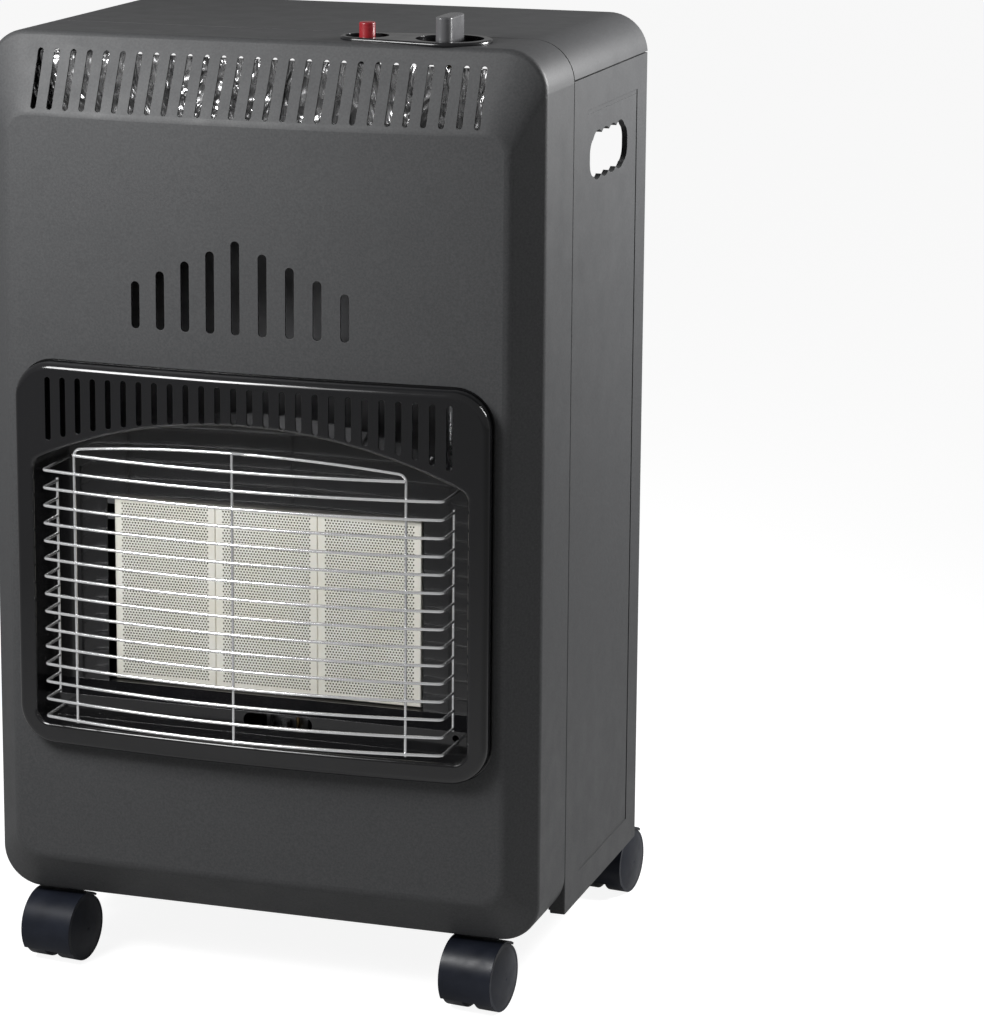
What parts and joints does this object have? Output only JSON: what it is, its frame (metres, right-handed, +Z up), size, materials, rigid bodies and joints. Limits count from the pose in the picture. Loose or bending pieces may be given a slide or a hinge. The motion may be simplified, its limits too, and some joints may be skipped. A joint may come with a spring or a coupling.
{
  "type": "portable gas cabinet heater",
  "caption": "Portable gas cabinet heater: ceramic burners behind a wire guard, control knob and igniter on top, folding sides, lid and base around the bottle bay, on castors.",
  "frame": {"origin": "on the floor, under the middle of the whole heater's bounding box", "axes": "+X to the heater's right as seen from the front, +Y to the back, +Z up"},
  "size_m": [0.42, 0.391, 0.719],
  "materials": {
    "charcoal_powder_coat": "satin powder coat",
    "black_enamel": "gloss enamel",
    "chrome_wire": "bright",
    "burner_ceramic": "matte",
    "plain_steel": "satin",
    "brass": "satin",
    "bright_aluminium": "bright",
    "black_gloss_plastic": "gloss",
    "black_plastic": "satin",
    "red_plastic": "gloss",
    "grey_plastic": "matte"
  },
  "bodies": {
    "heater": {"front_casing": "charcoal_powder_coat", "burner_surround": "black_enamel", "guard_grille": "chrome_wire", "burner_rails": "plain_steel", "injectors": "brass", "gas_valve": "brass", "valve_bracket": "plain_steel", "gas_inlet": "brass", "control_panel": "black_gloss_plastic", "igniter_body": "grey_plastic", "pilot_burner": "plain_steel", "pilot_tube": "bright_aluminium", "thermocouple": "brass", "ignition_electrode": "black_plastic", "heat_shield": "plain_steel", "shield_rivets": "plain_steel", "heat_deflector": "bright_aluminium", "foot_plate": "charcoal_powder_coat", "base_pins": "plain_steel", "roof_brackets": "plain_steel", "roof_pins": "plain_steel", "side_brackets": "plain_steel", "side_pins": "plain_steel", "castor_sockets_front": "plain_steel", "plaque_left": "burner_ceramic", "plaque_middle": "burner_ceramic", "plaque_right": "burner_ceramic", "burner_left": "plain_steel", "burner_middle": "plain_steel", "burner_right": "plain_steel", "supply_tube_left": "bright_aluminium", "supply_tube_middle": "bright_aluminium", "supply_tube_right": "bright_aluminium"},
    "plunger": {"valve_plunger": "brass"},
    "knob": {"valve_stem": "plain_steel", "control_knob": "black_gloss_plastic"},
    "button": {"igniter_button": "red_plastic"},
    "lid": {"roof": "charcoal_powder_coat"},
    "side_right": {"side_panel_right": "charcoal_powder_coat", "side_hinge_right": "plain_steel"},
    "side_left": {"side_panel_left": "charcoal_powder_coat", "side_hinge_left": "plain_steel"},
    "base": {"base_plate": "charcoal_powder_coat", "castor_sockets_rear": "plain_steel"},
    "castor_front_left": {"castor_hood_front_left": "black_plastic", "castor_pins_front_left": "plain_steel"},
    "wheel_outer_front_left": {"wheel_outer_front_left": "black_plastic"},
    "wheel_inner_front_left": {"wheel_inner_front_left": "black_plastic"},
    "castor_front_right": {"castor_hood_front_right": "black_plastic", "castor_pins_front_right": "plain_steel"},
    "wheel_outer_front_right": {"wheel_outer_front_right": "black_plastic"},
    "wheel_inner_front_right": {"wheel_inner_front_right": "black_plastic"},
    "castor_rear_left": {"castor_hood_rear_left": "black_plastic", "castor_pins_rear_left": "plain_steel"},
    "wheel_outer_rear_left": {"wheel_outer_rear_left": "black_plastic"},
    "wheel_inner_rear_left": {"wheel_inner_rear_left": "black_plastic"},
    "castor_rear_right": {"castor_hood_rear_right": "black_plastic", "castor_pins_rear_right": "plain_steel"},
    "wheel_outer_rear_right": {"wheel_outer_rear_right": "black_plastic"},
    "wheel_inner_rear_right": {"wheel_inner_rear_right": "black_plastic"}
  },
  "joints": [
    {"name": "valve_press", "type": "slide", "parent": "heater", "child": "plunger", "axis": [0, 0, -1], "range_m": [0, 0.004], "stiffness_N_per_m": 900, "springref_m": -0.003},
    {"name": "knob_turn", "type": "hinge", "parent": "plunger", "child": "knob", "pos_m": [0.13, -0.10245, 0.6926], "axis": [0, 0, 1], "range_deg": [0, 210]},
    {"name": "igniter_press", "type": "slide", "parent": "heater", "child": "button", "axis": [0, 0, -1], "range_m": [0, 0.005], "stiffness_N_per_m": 1200, "springref_m": -0.003},
    {"name": "roof_lift", "type": "hinge", "parent": "heater", "child": "lid", "pos_m": [0, -0.05845, 0.696], "axis": [1, 0, 0], "range_deg": [0, 75]},
    {"name": "side_right_fold", "type": "hinge", "parent": "heater", "child": "side_right", "pos_m": [0.198, -0.05945, 0.36], "axis": [0, 0, 1], "range_deg": [0, 90]},
    {"name": "side_left_fold", "type": "hinge", "parent": "heater", "child": "side_left", "pos_m": [-0.198, -0.05945, 0.36], "axis": [0, 0, -1], "range_deg": [0, 90]},
    {"name": "base_fold", "type": "hinge", "parent": "heater", "child": "base", "pos_m": [0, -0.04145, 0.0495], "axis": [1, 0, 0], "range_deg": [0, 87]},
    {"name": "swivel_front_left", "type": "hinge", "parent": "heater", "child": "castor_front_left", "pos_m": [-0.1645, -0.10545, 0.05], "axis": [0, 0, 1], "continuous": true},
    {"name": "roll_outer_front_left", "type": "hinge", "parent": "castor_front_left", "child": "wheel_outer_front_left", "pos_m": [-0.16651, -0.12183, 0.025], "axis": [0.9925, -0.1219, 0], "continuous": true},
    {"name": "roll_inner_front_left", "type": "hinge", "parent": "castor_front_left", "child": "wheel_inner_front_left", "pos_m": [-0.16651, -0.12183, 0.025], "axis": [0.9925, -0.1219, 0], "continuous": true},
    {"name": "swivel_front_right", "type": "hinge", "parent": "heater", "child": "castor_front_right", "pos_m": [0.1645, -0.10545, 0.05], "axis": [0, 0, 1], "continuous": true},
    {"name": "roll_outer_front_right", "type": "hinge", "parent": "castor_front_right", "child": "wheel_outer_front_right", "pos_m": [0.16249, -0.12183, 0.025], "axis": [0.9925, -0.1219, 0], "continuous": true},
    {"name": "roll_inner_front_right", "type": "hinge", "parent": "castor_front_right", "child": "wheel_inner_front_right", "pos_m": [0.16249, -0.12183, 0.025], "axis": [0.9925, -0.1219, 0], "continuous": true},
    {"name": "swivel_rear_left", "type": "hinge", "parent": "base", "child": "castor_rear_left", "pos_m": [-0.182, 0.17955, 0.05], "axis": [0, 0, 1], "continuous": true},
    {"name": "roll_outer_rear_left", "type": "hinge", "parent": "castor_rear_left", "child": "wheel_outer_rear_left", "pos_m": [-0.18401, 0.16317, 0.025], "axis": [0.9925, -0.1219, 0], "continuous": true},
    {"name": "roll_inner_rear_left", "type": "hinge", "parent": "castor_rear_left", "child": "wheel_inner_rear_left", "pos_m": [-0.18401, 0.16317, 0.025], "axis": [0.9925, -0.1219, 0], "continuous": true},
    {"name": "swivel_rear_right", "type": "hinge", "parent": "base", "child": "castor_rear_right", "pos_m": [0.182, 0.17955, 0.05], "axis": [0, 0, 1], "continuous": true},
    {"name": "roll_outer_rear_right", "type": "hinge", "parent": "castor_rear_right", "child": "wheel_outer_rear_right", "pos_m": [0.17999, 0.16317, 0.025], "axis": [0.9925, -0.1219, 0], "continuous": true},
    {"name": "roll_inner_rear_right", "type": "hinge", "parent": "castor_rear_right", "child": "wheel_inner_rear_right", "pos_m": [0.17999, 0.16317, 0.025], "axis": [0.9925, -0.1219, 0], "continuous": true}
  ]
}
